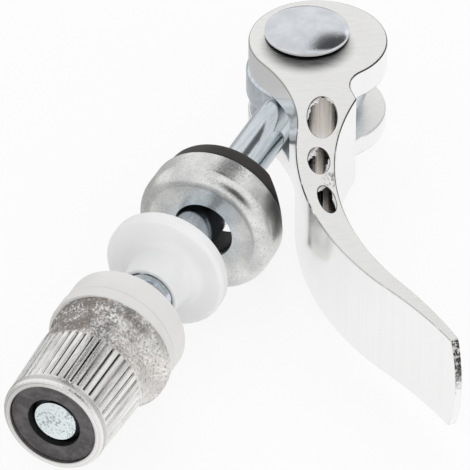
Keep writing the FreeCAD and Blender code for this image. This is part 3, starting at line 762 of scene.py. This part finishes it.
def makeBolt(shape):
    ridge = bmesh.new()
    pitch, steps = shape["pitch"], shape["stepsPerTurn"]
    first = shape["threadStart"] - shape["spareTurns"] * pitch
    verts = [ridge.verts.new(((first + along * pitch) * mm, 0, radius * mm))
             for along, radius in shape["ridge"]]
    edges = [ridge.edges.new(pair) for pair in zip(verts, verts[1:])]
    turns = math.ceil((shape["threadEnd"] - first) / pitch) + 1
    bmesh.ops.spin(ridge, geom=verts + edges, cent=(0, 0, 0), axis=(1, 0, 0),
                   dvec=(pitch / steps * mm, 0, 0), angle=math.tau * turns, steps=steps * turns,
                   use_merge=False, use_duplicate=False)
    bmesh.ops.remove_doubles(ridge, verts=ridge.verts, dist=copyCare["merge"] * mm)
    cutAway(ridge, shape["threadStart"], -1)
    cutAway(ridge, shape["threadEnd"], 1)
    threadMesh = bpy.data.meshes.new("rolledThread")
    ridge.to_mesh(threadMesh)
    ridge.free()

    bm = mergedCopy("bolt")
    breakRims(bm, shape["rim"])
    cutAway(bm, shape["shankEnd"], 1)
    bm.from_mesh(threadMesh)
    bpy.data.meshes.remove(threadMesh)
    bmesh.ops.bridge_loops(bm, edges=rimAt(bm, shape["shankEnd"]) + rimAt(bm, shape["threadStart"]))
    turned = Matrix.Translation((shape["tip"] * mm, 0, 0)) @ Matrix.Rotation(math.pi / 2, 4, "Y")
    tip = bmesh.ops.create_circle(bm, cap_ends=True, segments=shape["tipPoints"],
                                  radius=shape["tipRadius"] * mm, matrix=turned)
    tipRim = [edge for edge in bm.edges if edge.is_boundary
              and all(vert in tip["verts"] for vert in edge.verts)]
    bmesh.ops.bridge_loops(bm, edges=rimAt(bm, shape["threadEnd"]) + tipRim)
    bmesh.ops.recalc_face_normals(bm, faces=bm.faces)
    for edge in bm.edges:
        edge.smooth = edge.calc_face_angle(0) < math.radians(shape["sharpAngle"])
    return addPiece(bm, "bolt_threaded", "bolt", "bolt")


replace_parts(makeBolt(boltShape), "bolt")
print("bolt threaded")


# torn lips of metal left in the lever's hollows

burrShape = {
    "top": 6.7,  # the lever's upper face
    "below": 0.05,
    "thick": 0.05,
    "grain": 96,  # points round a hollow
    "overlap": 0.05,  # how far a lip's root stands in the wall
    "ends": (0.04, 0.96),  # a lip keeps a little reach at its ends
    "ragged": (0.45, 1.0),
    "curl": (-0.06, 0.05),
    "tears": [  # hollow, from and to degrees from its outer end, reach into the hollow
        {"hollow": 0, "from": 182, "to": 240, "reach": 0.95},
        {"hollow": 0, "from": 228, "to": 280, "reach": 0.34},
        {"hollow": 0, "from": 128, "to": 174, "reach": 0.40},
        {"hollow": 1, "from": 170, "to": 268, "reach": 1.15},
        {"hollow": 1, "from": 20, "to": 100, "reach": 0.45},
        {"hollow": 2, "from": 150, "to": 232, "reach": 0.85},
        {"hollow": 2, "from": 40, "to": 118, "reach": 0.42},
    ],
    "hollows": [  # place, half length, half width and turn
        ((15.24, 8.45), 4.15, 1.75, 22.5),
        ((23.5, 11.5), 2.6, 1.22, 27.0),
        ((30.15, 15.35), 2.65, 0.92, 35.3),
    ],
    "seed": 11,
}


def angleOf(vert):
    return math.degrees(math.atan2(vert.co.y, vert.co.x)) % 360


def makeBurrs(shape):
    draw = random.Random(shape["seed"])
    joined = bmesh.new()
    least, most = shape["ends"]
    for tear in shape["tears"]:
        centre, halfLong, halfWide, turn = shape["hollows"][tear["hollow"]]
        lip = bmesh.new()
        ring = bmesh.ops.create_circle(lip, cap_ends=False, segments=shape["grain"], radius=1.0)
        outside = [vert for vert in ring["verts"] if not tear["from"] <= angleOf(vert) <= tear["to"]]
        bmesh.ops.delete(lip, geom=outside, context="VERTS")
        made = bmesh.ops.extrude_edge_only(lip, edges=lip.edges[:])["geom"]
        for vert in [item for item in made if isinstance(item, bmesh.types.BMVert)]:
            share = (angleOf(vert) - tear["from"]) / (tear["to"] - tear["from"])
            swell = math.sin(math.pi * min(max(share, least), most))
            reach = tear["reach"] * swell * draw.uniform(*shape["ragged"])
            vert.co.x *= 1 - reach / halfLong
            vert.co.y *= 1 - reach / halfWide
            vert.co.z += draw.uniform(*shape["curl"])
        overlap = shape["overlap"]
        bmesh.ops.scale(lip, verts=lip.verts, vec=inMetres((halfLong + overlap, halfWide + overlap, 1)))
        bmesh.ops.rotate(lip, verts=lip.verts, matrix=Matrix.Rotation(math.radians(turn), 3, "Z"))
        root = (*centre, shape["top"] - shape["below"])
        bmesh.ops.translate(lip, verts=lip.verts, vec=inMetres(root))
        bmesh.ops.recalc_face_normals(lip, faces=lip.faces)
        bmesh.ops.solidify(lip, geom=lip.faces[:], thickness=shape["thick"] * mm)
        lipMesh = bpy.data.meshes.new("tornLip")
        lip.to_mesh(lipMesh)
        lip.free()
        joined.from_mesh(lipMesh)
        bpy.data.meshes.remove(lipMesh)
    piece = addPiece(joined, "hollow_burrs", "lever", "lever")
    piece.data.materials[0] = makeBurrFinish(burrFinish)


makeBurrs(burrShape)
print("burrs torn")
